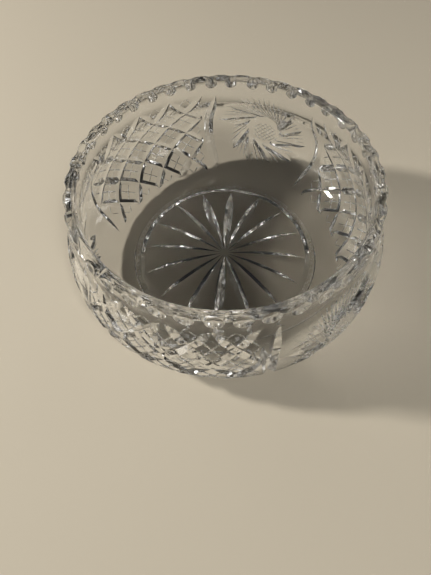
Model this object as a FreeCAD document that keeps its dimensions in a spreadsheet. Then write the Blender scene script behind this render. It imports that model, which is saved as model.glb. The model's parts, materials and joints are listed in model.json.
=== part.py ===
"""Round cut-glass bowl, one piece of clear lead crystal.

Frame: +Z up, millimetres, origin on the bowl's axis at the plane it stands on.
The blank is a bellied bowl turned about Z. Cut into it are thumb notches round
the rim, three panels of crossed mitres, three whirls, a long curved mitre at
each side of every panel, and a rayed star in the recess of the foot.
"""
import FreeCAD, Part

import math
import os

from FreeCAD import Vector
import Sketcher

doc = FreeCAD.newDocument("CutGlassBowl")

# ---------------------------------------------------------------- sizes
# Lengths in mm, angles in degrees. "Along the wall" is measured on the outside
# of the bowl, upwards from the edge of the foot.
SIZES = [
    ("height", 84, "foot to rim"),
    ("rim_radius", 93, "outside of the upright collar under the rim"),
    ("belly_swell", 10.1, "how far the belly stands out past the rim"),
    ("belly_height", 33, "height of the widest place"),
    ("collar", 11.2, "upright stretch under the rim"),
    ("foot_radius", 66.8, "outer edge of the foot"),
    ("foot_edge", 0.8, "bevel at the edge of the foot"),
    ("wall", 7.2, "wall thickness"),
    ("floor_top", 8, "height of the flat inside floor"),
    ("heel_start_angle", 36.5, "heel starts this much flatter than its chord"),
    ("heel_joint_angle", 4.7, "heel joins the belly this much steeper than it"),
    ("shoulder_share", 0.73, "shoulder's part of the curve above the belly"),
    ("rim_outer_round", 1.2, "rounding of the rim's outer edge"),
    ("rim_inner_round", 2.6, "rounding of the rim's inner edge"),
    ("contact_width", 3.7, "ring under the foot that touches the table"),
    ("recess_slope", 3.5, "width of the polished slope inside the ring"),
    ("recess_depth", 1.8, "depth of the recess under the foot"),
    ("notch_count", 40, "thumb notches round the rim"),
    ("notch_phase", 5.5, "angle of the first notch from +X"),
    ("notch_radius", 8, "radius of the notch wheel"),
    ("notch_lean", 13, "lean of a notch from upright"),
    ("notch_inset", 2, "reach of a notch into the rim's top face"),
    ("notch_clearance", 2, "how far the wheel runs on past a notch's end"),
    ("groups", 3, "times the panel and whirl repeat round the wall"),
    ("panel_angle", 10.5, "angle of the first panel's centre from +X"),
    ("mitre_half_angle", 50, "half the angle of a V cut"),
    ("panel_foot_margin", 15.5, "wall left plain below the panels"),
    ("panel_rim_margin", 13.6, "wall left plain above the panels"),
    ("panel_rows", 6, "half diamonds up a panel"),
    ("panel_columns", 8, "half diamonds across a panel"),
    ("half_diamond_angle", 7.65, "angle of half a diamond"),
    ("panel_mitre_depth", 1.9, "depth of a panel mitre"),
    ("side_mitre_depth", 1.6, "depth of the curved mitre beside a panel"),
    ("side_mitre_angle", 33.6, "its middle from the panel's centre"),
    ("side_mitre_bow", 3.6, "how far its ends bend away from the panel"),
    ("whirl_angle", 60.5, "whirl's centre from the panel's centre"),
    ("whirl_mitre_depth", 1.7, "depth of a whirl mitre"),
    ("star_rays", 16, "rays of the star under the foot"),
    ("star_phase", 17, "angle of the first ray from +X"),
    ("star_start", 1.2, "radius where the rays start"),
    ("star_margin", 0.2, "plain glass from a ray's tip to the slope"),
    ("star_depth", 2, "depth of a ray at its middle"),
]

# A whirl's mitres: where each starts (clock angle and distance from the whirl's
# centre), its heading and its length. Angles are in degrees, anticlockwise from
# the +angle direction as seen in the unrolled wall; lengths are shares of half
# the cut band's height.
WHIRL_MITRES = [
    (92, 0.48, 18, 0.82),
    (70, 0.48, -13, 0.88),
    (42, 0.42, -30, 0.44),
    (3, 0.36, -60, 0.64),
    (-13, 0.35, -94, 0.70),
    (-42, 0.33, -136, 0.72),
    (-80, 0.34, -167, 0.82),
    (-110, 0.32, -201, 0.62),
    (-140, 0.26, -192, 0.76),
    (180, 0.30, -218, 0.68),
    (154, 0.30, -242, 0.70),
]


def fill(sheet, rows):
    """Write alias, content and note, one row each."""
    for number, (alias, content, note) in enumerate(rows, start=1):
        sheet.set(f"A{number}", str(content))
        sheet.setAlias(f"A{number}", alias)
        sheet.set(f"B{number}", note)


sizes = doc.addObject("Spreadsheet::Sheet", "Sizes")
fill(sizes, SIZES)
doc.recompute()


def size(name):
    return float(sizes.get(name))


# ------------------------------------------------------- outline of the wall
# The outside is four arcs and an upright collar. Angles are of the outline's
# direction from level: the heel arc, the lower belly arc that turns upright at
# the widest place, the shoulder arc that leans in, the neck arc that turns
# upright again.
WORKED_OUT = [
    ("belly_radius", "=Sizes.rim_radius + Sizes.belly_swell", ""),
    ("collar_height", "=Sizes.height - Sizes.collar", ""),
    ("heel_run", "=belly_radius - Sizes.foot_radius", ""),
    ("heel_rise", "=Sizes.belly_height - Sizes.foot_edge", ""),
    ("heel_chord", "=atan(heel_rise / heel_run)", ""),
    ("start_angle", "=heel_chord - Sizes.heel_start_angle * 1deg", ""),
    ("joint_angle", "=heel_chord + Sizes.heel_joint_angle * 1deg", ""),
    ("det", "=(sin(joint_angle) - sin(start_angle)) * cos(joint_angle)"
            " - (1 - sin(joint_angle)) * (cos(start_angle) - cos(joint_angle))", ""),
    ("heel_radius", "=(heel_run * cos(joint_angle)"
                    " - (1 - sin(joint_angle)) * heel_rise) / det", ""),
    ("lower_radius", "=((sin(joint_angle) - sin(start_angle)) * heel_rise"
                     " - (cos(start_angle) - cos(joint_angle)) * heel_run) / det", ""),
    ("lean", "=2 * atan(Sizes.belly_swell / (collar_height - Sizes.belly_height))", ""),
    ("curve_sum", "=(collar_height - Sizes.belly_height) / sin(lean)", ""),
    ("shoulder_radius", "=Sizes.shoulder_share * curve_sum", ""),
    ("neck_radius", "=curve_sum - shoulder_radius", ""),
    ("inner_lower_radius", "=lower_radius - Sizes.wall", ""),
    ("inner_shoulder_radius", "=shoulder_radius - Sizes.wall", ""),
    ("inner_neck_radius", "=neck_radius + Sizes.wall", ""),
    ("inner_joint_x", "=belly_radius - lower_radius"
                      " + inner_lower_radius * sin(joint_angle)", ""),
    ("inner_joint_z", "=Sizes.belly_height - inner_lower_radius * cos(joint_angle)", ""),
    ("inner_heel_radius", "=(inner_joint_z - Sizes.floor_top)"
                          " / (1 - cos(joint_angle))", ""),
    ("notch_reach", "=Sizes.notch_inset / sin(Sizes.notch_lean * 1deg)"
                    " + Sizes.notch_clearance", ""),
]

worked = doc.addObject("Spreadsheet::Sheet", "Worked")
fill(worked, WORKED_OUT)
doc.recompute()


def value(name):
    got = worked.get(name)
    return float(getattr(got, "Value", got))


# Corners of the section, anticlockwise: distance from the axis, height, and the
# arc that leaves the corner (radius, centre) or None for a straight line.
CONTACT_OUTER = "Sizes.foot_radius - Sizes.foot_edge"
CONTACT_INNER = CONTACT_OUTER + " - Sizes.contact_width"
INNER_WALL = "Sizes.rim_radius - Sizes.wall"
LOWER_CENTRE = "Worked.belly_radius - Worked.lower_radius"
SHOULDER_CENTRE = "Worked.belly_radius - Worked.shoulder_radius"
NECK_CENTRE = "Sizes.rim_radius + Worked.neck_radius"
HEEL_CENTRE = ("Sizes.foot_radius - Worked.heel_radius * sin(Worked.start_angle)",
               "Sizes.foot_edge + Worked.heel_radius * cos(Worked.start_angle)")
INNER_FLAT = "Worked.inner_joint_x - Worked.inner_heel_radius * sin(Worked.joint_angle)"

CORNERS = [
    ("0", "Sizes.recess_depth", None),
    (CONTACT_INNER + " - Sizes.recess_slope", "Sizes.recess_depth", None),
    (CONTACT_INNER, "0", None),
    (CONTACT_OUTER, "0", None),
    ("Sizes.foot_radius", "Sizes.foot_edge", ("Worked.heel_radius", *HEEL_CENTRE)),
    (LOWER_CENTRE + " + Worked.lower_radius * sin(Worked.joint_angle)",
     "Sizes.belly_height - Worked.lower_radius * cos(Worked.joint_angle)",
     ("Worked.lower_radius", LOWER_CENTRE, "Sizes.belly_height")),
    ("Worked.belly_radius", "Sizes.belly_height",
     ("Worked.shoulder_radius", SHOULDER_CENTRE, "Sizes.belly_height")),
    (SHOULDER_CENTRE + " + Worked.shoulder_radius * cos(Worked.lean)",
     "Sizes.belly_height + Worked.shoulder_radius * sin(Worked.lean)",
     ("Worked.neck_radius", NECK_CENTRE, "Worked.collar_height")),
    ("Sizes.rim_radius", "Worked.collar_height", None),
    ("Sizes.rim_radius", "Sizes.height - Sizes.rim_outer_round",
     ("Sizes.rim_outer_round", "Sizes.rim_radius - Sizes.rim_outer_round",
      "Sizes.height - Sizes.rim_outer_round")),
    ("Sizes.rim_radius - Sizes.rim_outer_round", "Sizes.height", None),
    (INNER_WALL + " + Sizes.rim_inner_round", "Sizes.height",
     ("Sizes.rim_inner_round", INNER_WALL + " + Sizes.rim_inner_round",
      "Sizes.height - Sizes.rim_inner_round")),
    (INNER_WALL, "Sizes.height - Sizes.rim_inner_round", None),
    (INNER_WALL, "Worked.collar_height",
     ("Worked.inner_neck_radius", NECK_CENTRE, "Worked.collar_height")),
    (SHOULDER_CENTRE + " + Worked.inner_shoulder_radius * cos(Worked.lean)",
     "Sizes.belly_height + Worked.inner_shoulder_radius * sin(Worked.lean)",
     ("Worked.inner_shoulder_radius", SHOULDER_CENTRE, "Sizes.belly_height")),
    ("Worked.belly_radius - Sizes.wall", "Sizes.belly_height",
     ("Worked.inner_lower_radius", LOWER_CENTRE, "Sizes.belly_height")),
    ("Worked.inner_joint_x", "Worked.inner_joint_z",
     ("Worked.inner_heel_radius", INNER_FLAT, "Sizes.floor_top + Worked.inner_heel_radius")),
    (INNER_FLAT, "Sizes.floor_top", None),
    ("0", "Sizes.floor_top", None),
]


def number(expression):
    got = worked.evalExpression(expression)
    return float(getattr(got, "Value", got))


def origin_part(body, role):
    return next(f for f in body.Origin.OriginFeatures if f.Role == role)


def draw_section(sketch):
    """Draw the closed outline and bind every corner and radius to the sheets."""
    points = [Vector(number(x), number(z), 0) for x, z, _ in CORNERS]
    for index, (_, _, arc) in enumerate(CORNERS):
        start = points[index]
        end = points[(index + 1) % len(points)]
        if arc is None:
            sketch.addGeometry(Part.LineSegment(start, end))
            first, last = 1, 2
        else:
            centre = Vector(number(arc[1]), number(arc[2]), 0)
            turns_left = (start - centre).cross(end - centre).z > 0
            ends = (start, end) if turns_left else (end, start)
            angles = [math.atan2(p.y - centre.y, p.x - centre.x) for p in ends]
            circle = Part.Circle(centre, Vector(0, 0, 1), number(arc[0]))
            sketch.addGeometry(Part.ArcOfCircle(circle, *angles))
            first, last = (1, 2) if turns_left else (2, 1)
            sketch.addConstraint(Sketcher.Constraint("Radius", index, number(arc[0])))
            sketch.setExpression(f"Constraints[{sketch.ConstraintCount - 1}]", arc[0])
        if index:
            sketch.addConstraint(Sketcher.Constraint("Coincident", index - 1, previous, index, first))
        else:
            opening = first
        previous = last
        bind(sketch, index, first, "DistanceX", -2, CORNERS[index][0])
        bind(sketch, index, first, "DistanceY", -1, CORNERS[index][1])
    closing = Sketcher.Constraint("Coincident", len(points) - 1, previous, 0, opening)
    sketch.addConstraint(closing)


def bind(sketch, line, end, kind, axis, expression):
    """Hold one coordinate of a corner: on the axis, or at a bound distance."""
    if expression == "0":
        sketch.addConstraint(Sketcher.Constraint("PointOnObject", line, end, axis))
        return
    sketch.addConstraint(Sketcher.Constraint(kind, -1, 1, line, end, number(expression)))
    sketch.setExpression(f"Constraints[{sketch.ConstraintCount - 1}]", expression)


body = doc.addObject("PartDesign::Body", "Blank")
section = body.newObject("Sketcher::SketchObject", "Section")
section.AttachmentSupport = [(origin_part(body, "XZ_Plane"), "")]
section.MapMode = "FlatFace"
doc.recompute()
draw_section(section)
turned = body.newObject("PartDesign::Revolution", "TurnedBowl")
turned.Profile = section
turned.ReferenceAxis = (section, ["V_Axis"])
turned.Angle = 360
doc.recompute()

# Thumb notches: a leaning wheel takes a scoop out of the rim's outer corner. The
# wheel touches the top face at notch_inset and leaves the collar further down.
notch = body.newObject("PartDesign::SubtractiveCylinder", "RimNotch")
notch.AttachmentSupport = [(origin_part(body, "XY_Plane"), "")]
notch.MapMode = "FlatFace"
notch.setExpression("Radius", "Sizes.notch_radius")
notch.setExpression("Height", "2 * Worked.notch_reach")
notch.setExpression(
    "AttachmentOffset",
    "placement(vector(0; 0; 0); rotation(vector(0; 0; 1); Sizes.notch_phase))"
    " * placement(vector(Sizes.rim_radius - Sizes.notch_inset"
    " + Sizes.notch_radius * cos(Sizes.notch_lean * 1deg); 0; Sizes.height"
    " + Sizes.notch_radius * sin(Sizes.notch_lean * 1deg));"
    " rotation(vector(0; 1; 0); -Sizes.notch_lean))"
    " * placement(vector(0; 0; -Worked.notch_reach); rotation(vector(0; 0; 1); 0))")
doc.recompute()
notches = body.newObject("PartDesign::PolarPattern", "RimNotches")
notches.Originals = [notch]
notches.Axis = (origin_part(body, "Z_Axis"), [""])
notches.Angle = 360
notches.setExpression("Occurrences", "Sizes.notch_count")
body.Tip = notches
doc.recompute()


# ------------------------------------------------------------------ V cuts
RUN_OUT = 0.8      # a panel mitre fades out over this many half diamonds
END_DEPTH = 0.15   # share of a panel mitre's depth left at its tip
CLEARANCE = 0.8    # a cutter stands this share of its depth out of the glass
TIP_RISE = 0.08    # a single cut's tips rise this share of its depth out of it
PITCH_STEPS = 3    # stretches of a panel mitre for each half diamond
SIDE_STEPS = 10    # stretches of a long side mitre
BLADE_STEPS = 6    # stretches of a whirl's mitre
RAY_STEPS = 8      # stretches of a star's ray


def wall_arcs():
    """Outside of the wall from the foot up: radius, directions and centre."""
    start, joint = math.radians(value("start_angle")), math.radians(value("joint_angle"))
    lean, upright = math.radians(value("lean")), math.pi / 2
    belly, level = value("belly_radius"), size("belly_height")
    heel, lower = value("heel_radius"), value("lower_radius")
    shoulder, neck = value("shoulder_radius"), value("neck_radius")
    return [
        (heel, start, joint, size("foot_radius") - heel * math.sin(start),
         size("foot_edge") + heel * math.cos(start)),
        (lower, joint, upright, belly - lower, level),
        (shoulder, upright, upright + lean, belly - shoulder, level),
        (-neck, upright + lean, upright, size("rim_radius") + neck, value("collar_height")),
    ]


ARCS = wall_arcs()
ARC_LENGTHS = [abs(radius * (end - start)) for radius, start, end, _, _ in ARCS]
WALL_LENGTH = sum(ARC_LENGTHS) + size("collar")
BAND_LOW = size("panel_foot_margin")
BAND_HEIGHT = WALL_LENGTH - BAND_LOW - size("panel_rim_margin")


def wall_point(angle, along):
    """Point and outward normal of the wall, at an angle and a distance along it."""
    turn = math.radians(angle)
    left = along
    for (radius, start, _, centre_x, centre_z), length in zip(ARCS, ARC_LENGTHS):
        if left <= length:
            direction = start + left / radius
            away = centre_x + radius * math.sin(direction)
            up = centre_z - radius * math.cos(direction)
            break
        left -= length
    else:
        direction = math.pi / 2
        away = size("rim_radius")
        up = value("collar_height") + left
    out = math.sin(direction)
    point = Vector(away * math.cos(turn), away * math.sin(turn), up)
    return point, Vector(out * math.cos(turn), out * math.sin(turn), -math.cos(direction))


def steps(count):
    return [index / count for index in range(count + 1)]


def v_cut(path, depth):
    """Closed V-shaped cutter along a path of (point, outward normal, share of depth)."""
    slope = math.tan(math.radians(size("mitre_half_angle")))
    clear = CLEARANCE * depth
    wires = []
    for index, (point, normal, share) in enumerate(path):
        ahead = path[min(index + 1, len(path) - 1)][0]
        behind = path[max(index - 1, 0)][0]
        side = normal.cross(ahead - behind).normalize()
        bottom = point - normal * (depth * share)
        half = (depth * share + clear) * slope
        top = point + normal * clear
        wires.append(Part.makePolygon([bottom, top + side * half, top - side * half, bottom]))
    return Part.makeLoft(wires, True, False)


def lens(share):
    """Depth of a wheel's single cut: nothing at its ends, full in its middle."""
    return (1 + TIP_RISE) * math.sin(math.pi * share) - TIP_RISE


def panel_mitres(centre, slope):
    """One panel's parallel mitres, straight lines in the unrolled wall."""
    rows, half = int(size("panel_rows")), int(size("panel_columns")) // 2
    pitch = BAND_HEIGHT / rows
    cuts = []
    for offset in range(2 - half - rows, half, 2):
        first = max(0, -half - offset)
        last = min(rows, half - offset)
        path = []
        for share in steps(PITCH_STEPS * (last - first)):
            row = first + (last - first) * share
            column = slope * (offset + row)
            to_end = min(row - first, last - row) / RUN_OUT
            fade = math.sin(min(1, to_end) * math.pi / 2)
            angle = centre + column * size("half_diamond_angle")
            depth = END_DEPTH + (1 - END_DEPTH) * fade
            path.append((*wall_point(angle, BAND_LOW + row * pitch), depth))
        cuts.append(v_cut(path, size("panel_mitre_depth")))
    return cuts


def side_mitre(centre, side):
    """The long curved mitre that closes one side of a panel."""
    path = []
    for share in steps(SIDE_STEPS):
        bow = size("side_mitre_bow") * (2 * share - 1) ** 2
        angle = centre + side * (size("side_mitre_angle") + bow)
        path.append((*wall_point(angle, BAND_LOW + BAND_HEIGHT * share), lens(share)))
    return v_cut(path, size("side_mitre_depth"))


def whirl_mitre(centre, clock, start, heading, length):
    """One mitre of a whirl, straight in the unrolled wall."""
    unit = BAND_HEIGHT / 2
    middle = BAND_LOW + unit
    clock, heading = math.radians(clock), math.radians(heading)
    path = []
    for share in steps(BLADE_STEPS):
        across = start * math.cos(clock) + share * length * math.cos(heading)
        up = start * math.sin(clock) + share * length * math.sin(heading)
        angle = centre + math.degrees(across * unit / value("belly_radius"))
        path.append((*wall_point(angle, middle + up * unit), lens(share)))
    return v_cut(path, size("whirl_mitre_depth"))


def star_ray(angle):
    """One ray of the star, cut upwards into the recess of the foot."""
    inner = size("star_start")
    outer = number(CONTACT_INNER) - size("recess_slope") - size("star_margin")
    turn = math.radians(angle)
    path = []
    for share in steps(RAY_STEPS):
        away = inner + (outer - inner) * share
        point = Vector(away * math.cos(turn), away * math.sin(turn), size("recess_depth"))
        path.append((point, Vector(0, 0, -1), lens(share)))
    return v_cut(path, size("star_depth"))


# Cuts that cross in the glass are made in different rounds.
GROUP_STEP = 360 / size("groups")
PANELS = [size("panel_angle") + GROUP_STEP * index for index in range(int(size("groups")))]
WHIRLS = [angle + size("whirl_angle") for angle in PANELS]

ROUNDS = [
    ("RisingMitres", [cut for centre in PANELS for cut in panel_mitres(centre, 1)]),
    ("FallingMitres", [cut for centre in PANELS for cut in panel_mitres(centre, -1)]),
    ("SideMitres", [side_mitre(centre, side) for centre in PANELS for side in (-1, 1)]),
]
for turn in range(3):
    blades = [whirl_mitre(centre, *row) for centre in WHIRLS for row in WHIRL_MITRES[turn::3]]
    ROUNDS.append((f"WhirlMitres{turn + 1}", blades))
rays = int(size("star_rays"))
turns = [size("star_phase") + 360 * index / rays for index in range(rays)]
ROUNDS.append(("StarRays", [star_ray(angle) for angle in turns]))

glass = body
for label, cutters in ROUNDS:
    tool = doc.addObject("Part::Feature", label)
    tool.Shape = Part.makeCompound(cutters)
    cut = doc.addObject("Part::Cut", "After" + label)
    cut.Base = glass
    cut.Tool = tool
    glass = cut
doc.recompute()
glass.Label = "bowl"
glass.Placement = FreeCAD.Placement()

# ------------------------------------------------------------------- files
for item in doc.Objects:
    if "Invalid" in item.State or "Error" in item.State:
        raise RuntimeError(f"{item.Label} failed: {item.State}")
    if hasattr(item, "Shape") and (item.Shape.isNull() or not item.Shape.isValid()):
        raise RuntimeError(f"{item.Label} has no valid shape")
if len(glass.Shape.Solids) != 1:
    raise RuntimeError("the bowl is not one solid")

os.makedirs("parts", exist_ok=True)
glass.Shape.exportStep(f"parts/{glass.Label}.step")
print(f"bowl: {glass.Shape.Volume / 1000:.1f} cm3, {len(glass.Shape.Faces)} faces")
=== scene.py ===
# %% [markdown]
# # A round bowl of cut lead crystal
# The real bowl is one piece of glass. A blower makes the thick round blank, and
# a cutter then grinds every mark into it with turning wheels: deep V mitres,
# thin lines, thumb notches round the rim and a star under the foot.
# This lesson works in the same order. A section is turned into the blank, the
# pattern is drawn flat, wrapped on the glass as V-shaped cutters, and cut away.
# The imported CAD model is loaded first, and gives the size and the place.

import json
import math

import bmesh
import bpy
from mathutils import Matrix, Vector

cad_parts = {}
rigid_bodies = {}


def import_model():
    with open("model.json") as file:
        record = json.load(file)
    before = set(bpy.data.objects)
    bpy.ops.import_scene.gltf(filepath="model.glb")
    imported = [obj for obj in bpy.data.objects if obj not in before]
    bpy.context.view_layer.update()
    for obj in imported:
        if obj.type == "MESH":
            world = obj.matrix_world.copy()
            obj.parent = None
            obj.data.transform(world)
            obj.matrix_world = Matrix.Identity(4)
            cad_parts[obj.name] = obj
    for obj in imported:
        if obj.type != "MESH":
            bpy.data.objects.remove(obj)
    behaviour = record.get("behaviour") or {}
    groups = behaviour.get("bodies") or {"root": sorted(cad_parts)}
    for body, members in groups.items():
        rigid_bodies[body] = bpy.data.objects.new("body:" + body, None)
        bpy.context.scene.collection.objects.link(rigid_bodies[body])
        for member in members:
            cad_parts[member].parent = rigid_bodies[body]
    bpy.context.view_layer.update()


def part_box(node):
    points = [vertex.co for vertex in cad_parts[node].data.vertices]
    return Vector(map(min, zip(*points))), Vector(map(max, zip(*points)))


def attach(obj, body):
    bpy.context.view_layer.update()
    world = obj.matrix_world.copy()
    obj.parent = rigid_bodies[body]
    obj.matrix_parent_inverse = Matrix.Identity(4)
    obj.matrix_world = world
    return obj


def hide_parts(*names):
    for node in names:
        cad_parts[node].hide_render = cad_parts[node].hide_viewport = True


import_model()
low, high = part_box("bowl")
MM = 0.001
HEIGHT = high.z / MM
BELLY_RADIUS = (high.x - low.x) / 2 / MM
print(f"bowl {2 * BELLY_RADIUS:.1f} mm across and {HEIGHT:.1f} mm high")

# %% [markdown]
# ## Node trees from Python
# A long node tree is hard to read when every node and link has its own line.
# Two small classes help. `Wire` stands for one socket and can be calculated
# with, so `1 - mask` adds the Math node by itself. `Nodes` adds any other node
# in one call: its type, its settings, then what its sockets get.

# %% Two helpers for node trees
class Wire:
    """One output socket of a node tree, which arithmetic works on."""

    def __init__(self, nodes, socket):
        self.nodes = nodes
        self.socket = socket

    def __getitem__(self, name):
        """Another output of the same node."""
        return Wire(self.nodes, self.socket.node.outputs[name])

    def calc(self, operation, *values):
        sockets = dict(enumerate((self, *values)))
        return self.nodes.add("ShaderNodeMath", {"operation": operation}, sockets)

    def __add__(self, other):
        return self.calc("ADD", other)

    def __sub__(self, other):
        return self.calc("SUBTRACT", other)

    def __rsub__(self, other):
        return self.nodes.add("ShaderNodeMath", {"operation": "SUBTRACT"}, {0: other, 1: self})

    def __mul__(self, other):
        return self.calc("MULTIPLY", other)

    def __truediv__(self, other):
        return self.calc("DIVIDE", other)

    def __lt__(self, other):
        return self.calc("LESS_THAN", other)

    def __gt__(self, other):
        return self.calc("GREATER_THAN", other)

    def min(self, other):
        return self.calc("MINIMUM", other)

    def max(self, other):
        return self.calc("MAXIMUM", other)

    __radd__ = __add__


class Nodes:
    """Adds nodes to one tree."""

    def __init__(self, tree):
        self.tree = tree

    def add(self, kind, settings=None, sockets=None):
        node = self.tree.nodes.new(kind)
        for name, setting in (settings or {}).items():
            setattr(node, name, setting)
        for name, given in (sockets or {}).items():
            socket = node.inputs[name]
            for one in given if isinstance(given, list) else [given]:
                if isinstance(one, Wire):
                    self.tree.links.new(one.socket, socket)
                else:
                    socket.default_value = one
        outputs = [s for s in node.outputs if s.enabled]
        return Wire(self, outputs[0]) if outputs else node

    def vector(self, operation, *values):
        sockets = dict(enumerate(values))
        return self.add("ShaderNodeVectorMath", {"operation": operation}, sockets)

    def split(self, vector):
        """The X, Y and Z of a vector."""
        parts = self.add("ShaderNodeSeparateXYZ", None, {0: vector})
        return parts["X"], parts["Y"], parts["Z"]

    def join(self, x, y, z):
        return self.add("ShaderNodeCombineXYZ", None, {0: x, 1: y, 2: z})


def geometry_tree(name, inputs, outputs=(("Geometry", "Geometry"),)):
    """A new Geometry Nodes tree with named inputs: (name, kind, value)."""
    tree = bpy.data.node_groups.new(name, "GeometryNodeTree")
    for label, kind, *given in inputs:
        socket = tree.interface.new_socket(label, in_out="INPUT", socket_type="NodeSocket" + kind)
        if given:
            socket.default_value = given[0]
    for label, kind in outputs:
        tree.interface.new_socket(label, in_out="OUTPUT", socket_type="NodeSocket" + kind)
    nodes = Nodes(tree)
    entry = tree.nodes.new("NodeGroupInput")
    given = {label: Wire(nodes, entry.outputs[label]) for label, *_ in inputs}
    return nodes, given


def finish_tree(nodes, **results):
    """Join the named results to the tree's outputs."""
    last = nodes.tree.nodes.new("NodeGroupOutput")
    for label, wire in results.items():
        nodes.tree.links.new(wire.socket, last.inputs[label])
    return nodes.tree


def run_tree(item, tree, **values):
    """Put a tree on an object as a modifier, and set its inputs by identifier."""
    modifier = item.modifiers.new(tree.name, "NODES")
    modifier.node_group = tree
    for socket in tree.interface.items_tree:
        key = socket.name.replace(" ", "_").lower()
        if socket.in_out == "INPUT" and key in values:
            modifier[socket.identifier] = values[key]
    return modifier


# %% [markdown]
# ## The section
# Cut the bowl in half and look at the glass: a flat recess under the foot, the
# ring it stands on, a rounded heel, the belly, a neck, an upright collar, and
# the same shapes inside, one wall further in. The heel, belly, shoulder and
# neck are arcs that run smoothly into each other. Each arc is a few lines of
# Python, because an arc needs only a centre, a radius and two directions.

# %% Sizes of the section
RIM_RADIUS = 93
BELLY_HEIGHT = 33
COLLAR = 11.2
FOOT_RADIUS = 66.8
FOOT_EDGE = 0.8
WALL = 7.2
FLOOR_TOP = 8
CONTACT_WIDTH = 3.7
RECESS_SLOPE = 3.5
RECESS_DEPTH = 1.8
RIM_OUTER_ROUND = 1.2
RIM_INNER_ROUND = 2.6
SHOULDER_SHARE = 0.73
HEEL_START_BELOW_CHORD = math.radians(36.5)
HEEL_JOINT_ABOVE_CHORD = math.radians(4.7)


def arc(radius, start, end, centre_x, centre_z, gap=1.2):
    """Points of an arc between two directions of travel, about `gap` mm apart."""
    count = max(3, math.ceil(abs(radius * (end - start)) / gap))
    points = []
    for index in range(count + 1):
        way = start + (end - start) * index / count
        points.append((centre_x + radius * math.sin(way), centre_z - radius * math.cos(way)))
    return points


def line(start, end, gap):
    """Points of a straight stretch, about `gap` mm apart."""
    count = max(1, round(math.dist(start, end) / gap))
    return [
        tuple(a + (b - a) * index / count for a, b in zip(start, end))
        for index in range(count + 1)
    ]


# %% Points of the section, from under the foot round to the inside floor
run, rise = BELLY_RADIUS - FOOT_RADIUS, BELLY_HEIGHT - FOOT_EDGE
chord = math.atan2(rise, run)
start, joint = chord - HEEL_START_BELOW_CHORD, chord + HEEL_JOINT_ABOVE_CHORD
sines, cosines = math.sin(joint) - math.sin(start), math.cos(start) - math.cos(joint)
share = sines * math.cos(joint) - (1 - math.sin(joint)) * cosines
heel = (run * math.cos(joint) - (1 - math.sin(joint)) * rise) / share
lower = (sines * rise - cosines * run) / share
collar_height = HEIGHT - COLLAR
lean = 2 * math.atan((BELLY_RADIUS - RIM_RADIUS) / (collar_height - BELLY_HEIGHT))
shoulder = SHOULDER_SHARE * (collar_height - BELLY_HEIGHT) / math.sin(lean)
neck = (1 - SHOULDER_SHARE) * (collar_height - BELLY_HEIGHT) / math.sin(lean)
UP = math.pi / 2
inner_rim = RIM_RADIUS - WALL
joint_x = BELLY_RADIUS - lower + (lower - WALL) * math.sin(joint)
joint_z = BELLY_HEIGHT - (lower - WALL) * math.cos(joint)
inner_heel = (joint_z - FLOOR_TOP) / (1 - math.cos(joint))
contact_outer = FOOT_RADIUS - FOOT_EDGE
contact_inner = contact_outer - CONTACT_WIDTH
recess_radius = contact_inner - RECESS_SLOPE

under = (
    line((0, RECESS_DEPTH), (recess_radius, RECESS_DEPTH), 6)
    + line((recess_radius, RECESS_DEPTH), (contact_inner, 0), 2)[1:]
    + line((contact_inner, 0), (contact_outer, 0), 2)[1:]
    + [(FOOT_RADIUS, FOOT_EDGE)]
)
outside = (
    arc(heel, start, joint, FOOT_RADIUS - heel * math.sin(start), FOOT_EDGE + heel * math.cos(start))
    + arc(lower, joint, UP, BELLY_RADIUS - lower, BELLY_HEIGHT)[1:]
    + arc(shoulder, UP, UP + lean, BELLY_RADIUS - shoulder, BELLY_HEIGHT)[1:]
    + arc(-neck, UP + lean, UP, RIM_RADIUS + neck, collar_height)[1:]
    + line((RIM_RADIUS, collar_height), (RIM_RADIUS, HEIGHT - RIM_OUTER_ROUND), 1.5)[1:]
)
rim = (
    arc(RIM_OUTER_ROUND, UP, 2 * UP, RIM_RADIUS - RIM_OUTER_ROUND, HEIGHT - RIM_OUTER_ROUND, 0.4)
    + arc(RIM_INNER_ROUND, 2 * UP, 3 * UP, inner_rim + RIM_INNER_ROUND, HEIGHT - RIM_INNER_ROUND, 0.5)
)
inside = (
    line((inner_rim, HEIGHT - RIM_INNER_ROUND), (inner_rim, collar_height), 2.5)
    + arc(-neck - WALL, UP, UP + lean, RIM_RADIUS + neck, collar_height, 1.8)[1:]
    + arc(shoulder - WALL, UP + lean, UP, BELLY_RADIUS - shoulder, BELLY_HEIGHT, 1.5)[1:]
    + arc(lower - WALL, UP, joint, BELLY_RADIUS - lower, BELLY_HEIGHT, 1.2)[1:]
    + arc(inner_heel, joint, 0, joint_x - inner_heel * math.sin(joint), FLOOR_TOP + inner_heel, 1.8)[1:]
)
floor = line(inside[-1], (0, FLOOR_TOP), 6)[1:]
section = under + outside[1:] + rim[1:] + inside[1:] + floor
WALL_START = sum(math.dist(a, b) for a, b in zip(under, under[1:]))
WALL_LENGTH = sum(math.dist(a, b) for a, b in zip(outside, outside[1:])) + RIM_OUTER_ROUND
print(f"section of {len(section)} points, wall {WALL_LENGTH:.1f} mm from foot to rim")

# %% [markdown]
# ## The pattern, drawn flat
# Wrapped round a bellied bowl, the cuts are curves that are hard to place. On
# the unrolled wall most are straight lines. So the pattern is drawn flat first:
# across is the angle round the bowl, as millimetres at the belly, and up is the
# distance over the glass from the middle of the foot. Three panels of crossed
# mitres take turns with three whirls, so one of each is drawn.

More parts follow.
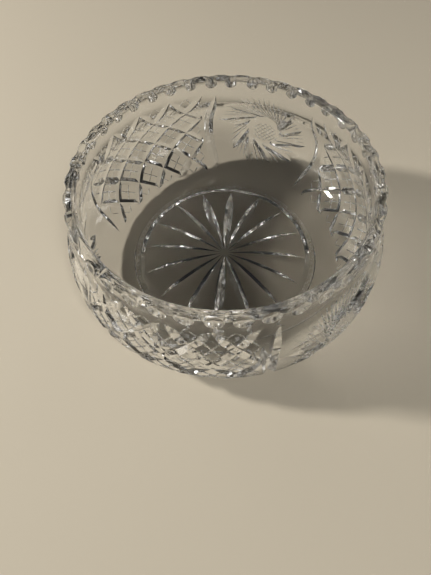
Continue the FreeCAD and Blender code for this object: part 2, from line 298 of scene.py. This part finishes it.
# %% Sizes of the pattern
GROUPS = 3
PANEL_ANGLE = 10.5
PANEL_FOOT_MARGIN = 15.5
PANEL_RIM_MARGIN = 13.6
PANEL_ROWS = 6
PANEL_HALF_COLUMNS = 4
HALF_DIAMOND_ANGLE = 7.65
SIDE_MITRE_ANGLE = 33.6
SIDE_MITRE_BOW = 3.6
SIDE_STEPS = 12
WHIRL_ANGLE = PANEL_ANGLE + 60.5
BAND_LOW = WALL_START + PANEL_FOOT_MARGIN
BAND_HEIGHT = WALL_LENGTH - PANEL_FOOT_MARGIN - PANEL_RIM_MARGIN
MM_PER_DEGREE = BELLY_RADIUS * math.pi / 180
ROUND_BOWL = 360 * MM_PER_DEGREE


def panel_lines(slope, between):
    """Parallel lines of a panel: the mitres, or the fine lines halfway between."""
    lines = []
    half, rows = PANEL_HALF_COLUMNS, PANEL_ROWS
    for offset in range(2 - half - rows - between, half + between, 2):
        first = max(0, -half - offset)
        last = min(rows, half - offset)
        ends = []
        for row in (first, last):
            across = PANEL_ANGLE + slope * (offset + row) * HALF_DIAMOND_ANGLE
            ends.append((across * MM_PER_DEGREE, BAND_LOW + BAND_HEIGHT * row / rows))
        lines.append(ends)
    return lines


def side_mitre(side):
    """The long curved mitre that closes one side of a panel."""
    points = []
    for index in range(SIDE_STEPS + 1):
        up = index / SIDE_STEPS
        bow = SIDE_MITRE_BOW * (2 * up - 1) ** 2
        across = PANEL_ANGLE + side * (SIDE_MITRE_ANGLE + bow)
        points.append((across * MM_PER_DEGREE, BAND_LOW + BAND_HEIGHT * up))
    return points


# Each blade of a whirl: its start (bearing and distance from the whirl's middle),
# its heading and its length. Angles are degrees anticlockwise from across, and
# lengths are shares of half the band's height.
WHIRL_BLADES = [
    (92, 0.48, 18, 0.82),
    (70, 0.48, -13, 0.88),
    (42, 0.42, -30, 0.44),
    (3, 0.36, -60, 0.64),
    (-13, 0.35, -94, 0.70),
    (-42, 0.33, -136, 0.72),
    (-80, 0.34, -167, 0.82),
    (-110, 0.32, -201, 0.62),
    (-140, 0.26, -192, 0.76),
    (180 - 360, 0.30, -218, 0.68),
    (154 - 360, 0.30, -242, 0.70),
]
WHIRL_UNIT = BAND_HEIGHT / 2
WHIRL_MIDDLE = Vector((WHIRL_ANGLE * MM_PER_DEGREE, BAND_LOW + WHIRL_UNIT))
FEATHERS = 3
FAN_FEATHERS = 11
FEATHER_START = 1.05
FEATHER_LENGTH = 0.95
DISC_RADIUS = 0.25
DISC_PITCH = 0.075
DISC_LINES = 7


def towards(degrees):
    """A flat direction, anticlockwise from across."""
    return Vector((math.cos(math.radians(degrees)), math.sin(math.radians(degrees))))


def whirl_line(bearing, start, heading, length):
    """One straight cut of a whirl, on the flat wall."""
    first = WHIRL_MIDDLE + WHIRL_UNIT * start * towards(bearing)
    return [tuple(first), tuple(first + WHIRL_UNIT * length * towards(heading))]


def feather_lines():
    """Fine lines that fill the gaps between the blades, and the fan at the top."""
    lines = []
    first = WHIRL_BLADES[0]
    once_round = (first[0] - 360, first[1], first[2] - 360, first[3])
    for one, other in zip(WHIRL_BLADES, WHIRL_BLADES[1:] + [once_round]):
        count = FAN_FEATHERS if other is once_round else FEATHERS
        for index in range(1, count + 1):
            share = index / (count + 1)
            bearing, start, heading, length = (a + (b - a) * share for a, b in zip(one, other))
            lines.append(whirl_line(bearing, start * FEATHER_START, heading, length * FEATHER_LENGTH))
    return lines


def disc_lines(heading):
    """Parallel fine lines across the small disc in the middle of a whirl."""
    lines = []
    way = towards(heading)
    beside = Vector((-way.y, way.x))
    for index in range(DISC_LINES):
        off = (index - (DISC_LINES - 1) / 2) * DISC_PITCH
        reach = math.sqrt(DISC_RADIUS ** 2 - off ** 2)
        centre = WHIRL_MIDDLE + WHIRL_UNIT * off * beside
        lines.append([tuple(centre - WHIRL_UNIT * reach * way), tuple(centre + WHIRL_UNIT * reach * way)])
    return lines


STAR_RAYS = 16
STAR_START = 1.2
STAR_MARGIN = 0.2
STAR_PHASE = 17 * MM_PER_DEGREE
star_ray = [(STAR_PHASE, STAR_START), (STAR_PHASE, recess_radius - STAR_MARGIN)]
print(f"{len(panel_lines(1, 0))} mitres each way in a panel, {len(feather_lines())} feathers in a whirl")

# %% [markdown]
# ## From a flat line to a V-shaped cutter
# A mitre wheel has a V edge. Rolled along a line, it leaves a V groove that
# fades out where the cutter lifts the glass off the wheel. The same thing can
# be built as geometry: wrap the flat line onto the glass, and sweep a triangle
# along it whose point dips below the surface. This is a rule, so it is a
# Geometry Nodes tree, and every kind of cut is the same tree with other sizes.
# The little nudge keeps the copies from being perfect, as hand work never is.

# %% Tree: a place on the flat pattern becomes a place on the glass
def wrap_tree():
    nodes, given = geometry_tree(
        "Wrap on the glass",
        [("Section", "Geometry"), ("Flat", "Vector"), ("Lift", "Float", 0.0)],
        [("Position", "Vector"), ("Outwards", "Vector")],
    )
    across, up, _ = nodes.split(given["Flat"])
    found = nodes.add(
        "GeometryNodeSampleCurve", {"mode": "LENGTH"},
        {"Curves": given["Section"], "Length": up},
    )
    away, _, height = nodes.split(found["Position"])
    along_r, _, along_z = nodes.split(found["Tangent"])
    turn = across / BELLY_RADIUS
    cosine, sine = turn.calc("COSINE"), turn.calc("SINE")
    out_r, out_z = along_z, along_r * -1.0
    lifted = away + out_r * given["Lift"]
    position = nodes.join(lifted * cosine, lifted * sine, height + out_z * given["Lift"])
    outwards = nodes.join(out_r * cosine, out_r * sine, out_z)
    return finish_tree(nodes, Position=position, Outwards=outwards)


WRAP = wrap_tree()
print(f"{len(WRAP.nodes)} nodes wrap a flat point on the glass")

# %% Tree: V cutters along flat lines
LINE_STEP = 2.0      # mm between the points of a line
CLEARANCE = 0.6      # a cutter stands this share of its depth out of the glass
DEPTH_DRIFT = 0.25   # share of the nudge that goes into the depth


def cutter_tree():
    nodes, given = geometry_tree(
        "V cutters",
        [
            ("Geometry", "Geometry"),
            ("Section", "Object"),
            ("Repeats", "Int", 1),
            ("Period", "Float", 1.0),
            ("Depth", "Float", 1.0),
            ("Spread", "Float", 1.0),
            ("Run In", "Float", 10.0),
            ("Run Out", "Float", 10.0),
            ("End Share", "Float", 0.0),
            ("Nudge", "Float", 0.0),
            ("Seed", "Int", 1),
            ("Material", "Material"),
        ],
    )
    # Repeat the flat lines round the bowl.
    fine = nodes.add(
        "GeometryNodeResampleCurve", {"mode": "LENGTH"},
        {"Curve": given["Geometry"], "Length": LINE_STEP},
    )
    places = nodes.add(
        "GeometryNodeMeshLine", None,
        {"Count": given["Repeats"], "Offset": nodes.join(given["Period"], 0.0, 0.0)},
    )
    copies = nodes.add("GeometryNodeInstanceOnPoints", None, {"Points": places, "Instance": fine})
    flat = nodes.add("GeometryNodeRealizeInstances", None, {"Geometry": copies})
    # How deep the wheel is at each point: a sine run-in and run-out.
    walked = nodes.add("GeometryNodeSplineParameter")["Length"]
    total = nodes.add("GeometryNodeSplineLength")
    run_in = given["Run In"].min(total * 0.5)
    run_out = given["Run Out"].min(total - run_in)
    rise = (walked / run_in).min((total - walked) / run_out).min(1.0).max(0.0)
    bite = (rise * (math.pi / 2)).calc("SINE")
    index = nodes.add("GeometryNodeInputIndex")
    luck = nodes.add(
        "FunctionNodeRandomValue", {"data_type": "FLOAT_VECTOR"},
        {"Min": (-1, -1, -1), "Max": (1, 1, 1), "ID": index, "Seed": given["Seed"]},
    )
    luck = nodes.add(
        "GeometryNodeFieldOnDomain", {"domain": "CURVE", "data_type": "FLOAT_VECTOR"}, {0: luck}
    )
    share = given["End Share"] + (1 - given["End Share"]) * bite
    deep = given["Depth"] * share * (1 + nodes.split(luck)[2] * given["Nudge"] * DEPTH_DRIFT)
    marked = nodes.add(
        "GeometryNodeStoreNamedAttribute", None,
        {"Geometry": flat, "Name": "deep", "Value": deep},
    )
    # Wrap the lines on the glass, and keep the way that is outwards there.
    section_curve = nodes.add("GeometryNodeObjectInfo", None, {"Object": given["Section"]})["Geometry"]
    here = nodes.add("GeometryNodeInputPosition")
    nudge = nodes.add("ShaderNodeVectorMath", {"operation": "SCALE"}, {0: luck, "Scale": given["Nudge"]})
    nudged = nodes.vector("ADD", here, nudge)
    clear = given["Depth"] * CLEARANCE
    on_glass = nodes.add(
        "GeometryNodeGroup", {"node_tree": WRAP},
        {"Section": section_curve, "Flat": nudged, "Lift": clear},
    )
    marked = nodes.add(
        "GeometryNodeStoreNamedAttribute", {"data_type": "FLOAT_VECTOR"},
        {"Geometry": marked, "Name": "outwards", "Value": on_glass["Outwards"]},
    )
    wrapped = nodes.add(
        "GeometryNodeSetPosition", None,
        {"Geometry": marked, "Position": on_glass["Position"]},
    )
    outwards = nodes.add(
        "GeometryNodeInputNamedAttribute", {"data_type": "FLOAT_VECTOR"}, {"Name": "outwards"}
    )
    wrapped = nodes.add(
        "GeometryNodeSetCurveNormal", {"mode": "FREE"},
        {"Curve": wrapped, "Normal": outwards},
    )
    # A triangle with its point one unit down, swept along and scaled.
    corner = nodes.add("GeometryNodeInputIndex")
    down = (corner < 0.5) * -1.0
    sideways = (corner > 0.5) * (corner * 2 - 3) * given["Spread"]
    circle = nodes.add("GeometryNodeCurvePrimitiveCircle", None, {"Resolution": 3})
    triangle = nodes.add(
        "GeometryNodeSetPosition", None,
        {"Geometry": circle, "Position": nodes.join(down, sideways, 0.0)},
    )
    deep = nodes.add("GeometryNodeInputNamedAttribute", None, {"Name": "deep"})
    swept = nodes.add(
        "GeometryNodeCurveToMesh", None,
        {"Curve": wrapped, "Profile Curve": triangle, "Scale": deep + clear, "Fill Caps": True},
    )
    scaled = nodes.add("GeometryNodeTransform", None, {"Geometry": swept, "Scale": (MM, MM, MM)})
    painted = nodes.add(
        "GeometryNodeSetMaterial", None,
        {"Geometry": scaled, "Material": given["Material"]},
    )
    return finish_tree(nodes, Geometry=painted)


CUTTERS = cutter_tree()
print(f"{len(CUTTERS.nodes)} nodes turn flat lines into V cutters")

# %% [markdown]
# ## Turning the blank, and the notches of the rim
# A lathe shape is a section carried round a circle, which is what Curve to Mesh
# does. The section's ends lie on the axis, so the rings there shrink to points
# and are merged. Each thumb notch is a hollow with a round lower end, as a small
# thick wheel leaves it. A ball, stretched a little upwards, has that shape: it
# is placed once in the rim's outer corner and repeated round the axis.

# %% Sizes of the blank's mesh and the notches
COLUMNS = 360
MERGE_GAP = 0.001     # mm
NOTCHES = 40
NOTCH_PHASE = math.radians(5.5)
NOTCH_BITE = 2.0      # mm into the collar
NOTCH_DROP = 1.5      # mm from the bowl's top down to the ball's middle
NOTCH_DRIFT = 0.006   # radians a notch may stray
BALL_RADIUS = 8.5
BALL_STRETCH = 1.25
BALL_SEGMENTS = 64
BALL_RINGS = 32
print(f"{NOTCHES} notches, {math.degrees(NOTCH_DRIFT):.2f} degrees of drift at most")


# %% Tree: turned blank


def blank_tree():
    nodes, given = geometry_tree(
        "Turned blank",
        [
            ("Geometry", "Geometry"),
            ("Section", "Object"),
            ("Columns", "Int", COLUMNS),
            ("Material", "Material"),
        ],
    )
    drawn = nodes.add("GeometryNodeObjectInfo", None, {"Object": given["Section"]})["Geometry"]
    away, _, up = nodes.split(nodes.add("GeometryNodeInputPosition"))
    spoke = nodes.add(
        "GeometryNodeSetPosition", None,
        {"Geometry": drawn, "Position": nodes.join(up, away - 1.0, 0.0)},
    )
    ring = nodes.add(
        "GeometryNodeCurvePrimitiveCircle", None,
        {"Resolution": given["Columns"], "Radius": 1.0},
    )
    ring = nodes.add(
        "GeometryNodeSetCurveNormal", {"mode": "FREE"},
        {"Curve": ring, "Normal": (0, 0, 1)},
    )
    turned = nodes.add("GeometryNodeCurveToMesh", None, {"Curve": ring, "Profile Curve": spoke})
    closed = nodes.add("GeometryNodeMergeByDistance", None, {"Geometry": turned, "Distance": MERGE_GAP})
    outwards = nodes.add("GeometryNodeFlipFaces", None, {0: closed})
    scaled = nodes.add("GeometryNodeTransform", None, {"Geometry": outwards, "Scale": (MM, MM, MM)})
    painted = nodes.add(
        "GeometryNodeSetMaterial", None,
        {"Geometry": scaled, "Material": given["Material"]},
    )
    return finish_tree(nodes, Geometry=painted)


# %% Tree: rim notches
def notch_tree():
    nodes, given = geometry_tree(
        "Rim notches",
        [
            ("Geometry", "Geometry"),
            ("Count", "Int", NOTCHES),
            ("Phase", "Float", NOTCH_PHASE),
            ("Radius", "Float", BALL_RADIUS),
            ("Stretch", "Float", BALL_STRETCH),
            ("Bite", "Float", NOTCH_BITE),
            ("Drop", "Float", NOTCH_DROP),
            ("Seed", "Int", 1),
            ("Material", "Material"),
        ],
    )
    ball = nodes.add(
        "GeometryNodeMeshUVSphere", None,
        {"Segments": BALL_SEGMENTS, "Rings": BALL_RINGS, "Radius": given["Radius"]},
    )
    centre = nodes.join(RIM_RADIUS - given["Bite"] + given["Radius"], 0.0, HEIGHT - given["Drop"])
    placed = nodes.add(
        "GeometryNodeTransform", None,
        {"Geometry": ball, "Translation": centre, "Scale": nodes.join(1.0, 1.0, given["Stretch"])},
    )
    index = nodes.add("GeometryNodeInputIndex")
    luck = nodes.add(
        "FunctionNodeRandomValue", None,
        {2: -NOTCH_DRIFT, 3: NOTCH_DRIFT, "ID": index, "Seed": given["Seed"]},
    )
    turn = given["Phase"] + index * (2 * math.pi) / given["Count"] + luck
    spots = nodes.add("GeometryNodeMeshLine", None, {"Count": given["Count"], "Offset": (0, 0, 0)})
    balls = nodes.add(
        "GeometryNodeInstanceOnPoints", None,
        {"Points": spots, "Instance": placed, "Rotation": nodes.join(0.0, 0.0, turn)},
    )
    real = nodes.add("GeometryNodeRealizeInstances", None, {"Geometry": balls})
    scaled = nodes.add("GeometryNodeTransform", None, {"Geometry": real, "Scale": (MM, MM, MM)})
    painted = nodes.add(
        "GeometryNodeSetMaterial", None,
        {"Geometry": scaled, "Material": given["Material"]},
    )
    return finish_tree(nodes, Geometry=painted)


# %% [markdown]
# ## Cutting
# Every cutter is taken from the blank in one Mesh Boolean. Cutters of one
# object must not cross each other, so crossing cuts are kept in objects of
# their own. The Manifold solver is exact enough for hundreds of grooves and
# takes a second. Afterwards edges steeper than a small angle are marked sharp,
# so that each facet stays crisp while the turned glass stays smooth. Faces that
# touch the table get the finish of the worn ring.

# %% Tree: cut the glass
CRISP_ANGLE = math.radians(24)
FOOT_HEIGHT = 0.3 * MM   # faces lower than this are the worn ring


def cutting_tree():
    nodes, given = geometry_tree(
        "Cut the glass",
        [
            ("Geometry", "Geometry"),
            ("Cutters", "Collection"),
            ("Crisp Angle", "Float", CRISP_ANGLE),
            ("Foot", "Material"),
            ("Foot Height", "Float", FOOT_HEIGHT),
        ],
    )
    cutters = nodes.add(
        "GeometryNodeCollectionInfo", None,
        {"Collection": given["Cutters"], "Separate Children": True},
    )
    cut = nodes.add(
        "GeometryNodeMeshBoolean", {"operation": "DIFFERENCE", "solver": "MANIFOLD"},
        {"Mesh 1": given["Geometry"], "Mesh 2": cutters},
    )
    smooth = nodes.add(
        "GeometryNodeSetShadeSmooth", {"domain": "FACE"},
        {"Geometry": cut, "Shade Smooth": True},
    )
    angle = nodes.add("GeometryNodeInputMeshEdgeAngle")
    crisp = nodes.add(
        "GeometryNodeSetShadeSmooth", {"domain": "EDGE"},
        {"Geometry": smooth, "Selection": angle > given["Crisp Angle"], "Shade Smooth": False},
    )
    real = nodes.add("GeometryNodeRealizeInstances", None, {"Geometry": crisp})
    height = nodes.split(nodes.add("GeometryNodeInputPosition"))[2]
    worn = nodes.add(
        "GeometryNodeSetMaterial", None,
        {"Geometry": real, "Selection": height < given["Foot Height"], "Material": given["Foot"]},
    )
    return finish_tree(nodes, Geometry=worn)


# %% Helpers that draw flat lines and sections as curves
workshop = bpy.data.collections.new("workshop")
cutters = bpy.data.collections.new("cutters")
bpy.context.scene.collection.children.link(workshop)
bpy.context.scene.collection.children.link(cutters)


def drawn(name, lines, collection):
    """A curve object with one poly spline for each list of points."""
    curve = bpy.data.curves.new(name, "CURVE")
    curve.dimensions = "3D"
    for points in lines:
        spline = curve.splines.new("POLY")
        spline.points.add(len(points) - 1)
        for spot, point in zip(spline.points, points):
            across, up, *height = point
            spot.co = (across, up, height[0] if height else 0, 1)
    item = bpy.data.objects.new(name, curve)
    collection.objects.link(item)
    return item


section_item = drawn("section", [[(away, 0, up) for away, up in section]], workshop)
print(f"section drawn with {len(section_item.data.splines[0].points)} points")


def cut_with(name, lines, wheel, run_in, run_out, repeats=GROUPS, end_share=-0.05, nudge=0.1, seed=1):
    """Add one object of V cutters made from flat lines."""
    depth, half_angle, material = wheel
    run_tree(
        drawn(name, lines, cutters), CUTTERS, section=section_item, repeats=repeats,
        period=ROUND_BOWL / repeats, depth=depth, spread=math.tan(math.radians(half_angle)),
        run_in=run_in, run_out=run_out, end_share=end_share, nudge=nudge, seed=seed, material=material,
    )


# %% [markdown]
# ## Four finishes of one glass
# The whole bowl is the same clear lead glass, but the wheel leaves different
# surfaces. Fire-polished walls keep a faint wave from the blower's tools. Deep
# mitres are polished bright. Thin lines and the ring that the bowl stands on
# are duller. Each is a Principled shader with full transmission, and only its
# roughness and bump differ.

# %% Materials
LEAD_GLASS_IOR = 1.55


def glass_finish(name, colour, build):
    """A clear glass whose roughness and bump come from build(nodes, place)."""
    material = bpy.data.materials.new(name)
    material.use_nodes = True
    material.node_tree.nodes.clear()
    nodes = Nodes(material.node_tree)
    place = nodes.add("ShaderNodeTexCoord")["Object"]
    roughness, normal = build(nodes, place)
    shader = nodes.add(
        "ShaderNodeBsdfPrincipled", None,
        {
            "Base Color": colour, "Roughness": roughness, "IOR": LEAD_GLASS_IOR,
            "Transmission Weight": 1.0, "Normal": normal,
        },
    )
    nodes.add("ShaderNodeOutputMaterial", None, {"Surface": shader})
    return material


def noise(nodes, place, scale, detail=2.0):
    return nodes.add("ShaderNodeTexNoise", None, {"Vector": place, "Scale": scale, "Detail": detail})["Fac"]


def polished_wall(nodes, place):
    wave = noise(nodes, place, 55.0)
    smear = noise(nodes, place, 24.0)
    bump = nodes.add("ShaderNodeBump", None, {"Strength": 0.25, "Distance": 0.0004, "Height": wave})
    return smear.max(0.5) * 0.03 - 0.012, bump


def polished_cut(nodes, place):
    ripple = noise(nodes, place, 420.0)
    bump = nodes.add("ShaderNodeBump", None, {"Strength": 0.2, "Distance": 0.0001, "Height": ripple})
    return noise(nodes, place, 160.0) * 0.05, bump


def ground_line(nodes, place):
    grit = noise(nodes, place, 2600.0, 3.0)
    bump = nodes.add("ShaderNodeBump", None, {"Strength": 0.35, "Distance": 0.00004, "Height": grit})
    return noise(nodes, place, 500.0) * 0.3 + 0.12, bump


def worn_foot(nodes, place):
    scuffs = nodes.add(
        "ShaderNodeTexNoise", None,
        {"Vector": place, "Scale": 900.0, "Detail": 4.0, "Distortion": 2.0},
    )["Fac"]
    bump = nodes.add("ShaderNodeBump", None, {"Strength": 0.4, "Distance": 0.00005, "Height": scuffs})
    return scuffs * 0.35 + 0.08, bump


CLEAR = (0.985, 0.99, 0.988, 1)
wall_glass = glass_finish("polished_wall", CLEAR, polished_wall)
cut_glass = glass_finish("polished_cut", CLEAR, polished_cut)
line_glass = glass_finish("ground_line", CLEAR, ground_line)
foot_glass = glass_finish("worn_foot", CLEAR, worn_foot)
print("finishes:", [material.name for material in (wall_glass, cut_glass, line_glass, foot_glass)])

# %% [markdown]
# ## All the cuts
# Each call adds the cutters of one kind. The numbers are what a cutter would
# write on the bench: how deep, and how long the cut takes to fade in.

# %% Draw the cutters
# Each wheel: how deep it bites, half the angle of its edge, what it leaves.
MITRE_WHEEL = (2.3, 54, cut_glass)
SIDE_WHEEL = (2.4, 56, cut_glass)
BLADE_WHEEL = (2.5, 55, cut_glass)
STAR_WHEEL = (2.5, 52, cut_glass)
LINE_WHEEL = (0.42, 50, line_glass)
FEATHER_WHEEL = (0.6, 52, line_glass)
DISC_WHEEL = (0.35, 50, line_glass)

for slope in (1, -1):
    cut_with(f"mitres_{slope}", panel_lines(slope, 0), MITRE_WHEEL, 4, 11, end_share=0.2)
    cut_with(f"fine_mitres_{slope}", panel_lines(slope, 1), LINE_WHEEL, 4, 4)
    cut_with(f"side_mitre_{slope}", [side_mitre(slope)], SIDE_WHEEL, 16, 16)
    cut_with(f"disc_{slope}", disc_lines(45 * slope), DISC_WHEEL, 2, 2)
for turn in range(3):
    blades = [whirl_line(*blade) for blade in WHIRL_BLADES[turn::3]]
    cut_with(f"blades_{turn}", blades, BLADE_WHEEL, 6, 10, seed=turn)
for turn in range(4):
    cut_with(f"feathers_{turn}", feather_lines()[turn::4], FEATHER_WHEEL, 4, 10, seed=turn)
cut_with("star", [star_ray], STAR_WHEEL, 40, 18, repeats=STAR_RAYS, nudge=0.05)

notch_item = drawn("rim_notches", [[(0, 0), (1, 0)]], cutters)
run_tree(
    notch_item, notch_tree(), count=NOTCHES, phase=NOTCH_PHASE, radius=BALL_RADIUS,
    stretch=BALL_STRETCH, bite=NOTCH_BITE, drop=NOTCH_DROP, seed=7, material=cut_glass,
)

# %% Turn and cut the bowl
shell = bpy.data.meshes.new("shell")
blank = bpy.data.objects.new("blank", shell)
workshop.objects.link(blank)
run_tree(blank, blank_tree(), section=section_item, columns=COLUMNS, material=wall_glass)
run_tree(
    blank, cutting_tree(), cutters=cutters, crisp_angle=CRISP_ANGLE,
    foot=foot_glass, foot_height=FOOT_HEIGHT,
)
view = bpy.context.evaluated_depsgraph_get()
view.update()
mesh = bpy.data.meshes.new_from_object(blank.evaluated_get(view), depsgraph=view)
finishes = [material.name if material else None for material in mesh.materials]
print(f"{len(mesh.vertices)} points, {len(mesh.polygons)} faces, materials {finishes}")
for item in (*cutters.objects, *workshop.objects):
    bpy.data.objects.remove(item)
bpy.data.collections.remove(cutters)
bpy.data.collections.remove(workshop)
mesh.name = "bowl_crystal"
bowl = bpy.data.objects.new("bowl_crystal", mesh)
bpy.context.scene.collection.objects.link(bowl)

# %% Check that the mesh is closed, and join it to the frame
check = bmesh.new()
check.from_mesh(mesh)
open_edges = sum(1 for edge in check.edges if len(edge.link_faces) != 2)
triangles = sum(len(face.verts) - 2 for face in check.faces)
volume = check.calc_volume(signed=True) / MM ** 3 / 1000
check.free()
print(f"volume {volume:.1f} cm3, open edges {open_edges}, triangles {triangles}")

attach(bowl, "root")
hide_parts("bowl")

# %% [markdown]
# ## Floor and light
# Clear glass has no colour of its own: it shows what is around it. One small
# lamp at the left makes the glints and the shadow. A large one in front lights
# the table, and is hidden from the glass, where it would be a white patch.

# %% Floor
# A hair below the foot, because glass that shares a plane with it turns black.
FLOOR_GAP = 0.2 * MM
FLOOR_REACH = 3   # metres each way
corners = [(-1, -1), (1, -1), (1, 1), (-1, 1)]
spots = [(FLOOR_REACH * x, FLOOR_REACH * y, -FLOOR_GAP) for x, y in corners]
floor_mesh = bpy.data.meshes.new("floor")
floor_mesh.from_pydata(spots, [], [(0, 1, 2, 3)])
floor_item = bpy.data.objects.new("floor", floor_mesh)
bpy.context.scene.collection.objects.link(floor_item)
paint = bpy.data.materials.new("pale_floor")
paint.use_nodes = True
shader = paint.node_tree.nodes["Principled BSDF"]
shader.inputs["Base Color"].default_value = (0.56, 0.505, 0.405, 1)
shader.inputs["Roughness"].default_value = 0.8
floor_mesh.materials.append(paint)
print(f"floor {2 * FLOOR_REACH} m wide, {FLOOR_GAP / MM} mm below the foot")


# %% Lamps
def lamp(name, place, target, width, depth, watts, colour=(1, 1, 1), mirrored=True):
    """A soft box that faces a target."""
    data = bpy.data.lights.new(name, "AREA")
    data.shape = "RECTANGLE"
    data.size = width
    data.size_y = depth
    data.energy = watts
    data.color = colour
    item = bpy.data.objects.new(name, data)
    item.location = place
    item.rotation_euler = (Vector(target) - Vector(place)).to_track_quat("-Z", "Y").to_euler()
    item.visible_glossy = mirrored
    item.visible_transmission = mirrored
    bpy.context.scene.collection.objects.link(item)
    return item


middle = Vector((0, 0, HEIGHT / 2 * MM))
lamps = [
    lamp("key", (-1.2, 0.15, 0.85), middle, 0.12, 0.12, 17.5, (1.0, 0.96, 0.90)),
    lamp("overhead", (0.5, -1.0, 1.5), middle, 0.5, 0.5, 16, (1.0, 0.98, 0.94), mirrored=False),
]
print("lamps:", [(item.name, item.data.energy) for item in lamps])

# %% [markdown]
# ## The room that the glass shows
# Glass needs something dark and something bright to bend into view. So the room
# is dark, with pale screens standing low round the table. They are a pattern in
# the world's light. Seen directly they would be hard white stripes, so the
# camera gets a plain backdrop in their place.

# %% Room
SCREENS = 6
SCREEN_LEVEL = 0.62   # higher makes the screens narrower
SCREEN_FOOT = 0.03
SCREEN_TOP = 0.24
SCREEN_GLOW = 3.6
DARK_GLOW = 0.012
BACKDROP = (0.36, 0.33, 0.28, 1)

world = bpy.data.worlds.new("room")
world.use_nodes = True
world.node_tree.nodes.clear()
nodes = Nodes(world.node_tree)
across, along, up = nodes.split(nodes.add("ShaderNodeTexCoord")["Generated"])
turn = across.calc("ARCTAN2", along)
screens = ((turn * SCREENS).calc("SINE") > SCREEN_LEVEL) * (up > SCREEN_FOOT) * (up < SCREEN_TOP)
glow = nodes.add(
    "ShaderNodeBackground", None,
    {"Color": (1.0, 0.98, 0.95, 1), "Strength": screens * SCREEN_GLOW + DARK_GLOW},
)
backdrop = nodes.add("ShaderNodeBackground", None, {"Color": BACKDROP})
seen = nodes.add("ShaderNodeLightPath")["Is Camera Ray"]
both = nodes.add("ShaderNodeMixShader", None, {0: seen, 1: glow, 2: backdrop})
nodes.add("ShaderNodeOutputWorld", None, {"Surface": both})
bpy.context.scene.world = world
bpy.context.scene.view_settings.view_transform = "Standard"
print(f"{SCREENS} screens in a dark room")

# %% [markdown]
# ## Turns of a ray
# A ray inside cut glass turns back many times before it finds a way out, and a
# ray that is given up too early leaves a black patch. So the glass gets more
# turns than other scenes need.

# %% Turns of a ray inside the glass
TURNS = 28
MIRROR_TURNS = 20
paths = bpy.context.scene.cycles
paths.max_bounces = TURNS
paths.glossy_bounces = MIRROR_TURNS
paths.transmission_bounces = TURNS
print(f"{TURNS} turns, {MIRROR_TURNS} of them by reflection")

# %% [markdown]
# ## Camera
# A hand-held camera looks down over the front of the rim, a little tilted.

# %% Camera
CAMERA_PLACE = Vector((0, -0.1789, 0.2699))
YAW = math.radians(-2.52)
PITCH = math.radians(60.63)
ROLL = math.radians(-2.6)
LENS = 27.05

forward = Vector((math.sin(YAW) * math.cos(PITCH), math.cos(YAW) * math.cos(PITCH), -math.sin(PITCH)))
level = forward.cross(Vector((0, 0, 1))).normalized()
above = level.cross(forward)
right = level * math.cos(ROLL) + above * math.sin(ROLL)
upward = above * math.cos(ROLL) - level * math.sin(ROLL)
camera_data = bpy.data.cameras.new("camera")
camera_data.lens = LENS
camera_data.clip_start = 0.01
camera = bpy.data.objects.new("camera", camera_data)
facing = Matrix((right, upward, -forward)).transposed().to_4x4()
camera.matrix_world = Matrix.Translation(CAMERA_PLACE) @ facing
bpy.context.scene.collection.objects.link(camera)
bpy.context.scene.camera = camera
print(f"camera {(CAMERA_PLACE - middle).length:.3f} m from the bowl, lens {LENS} mm")
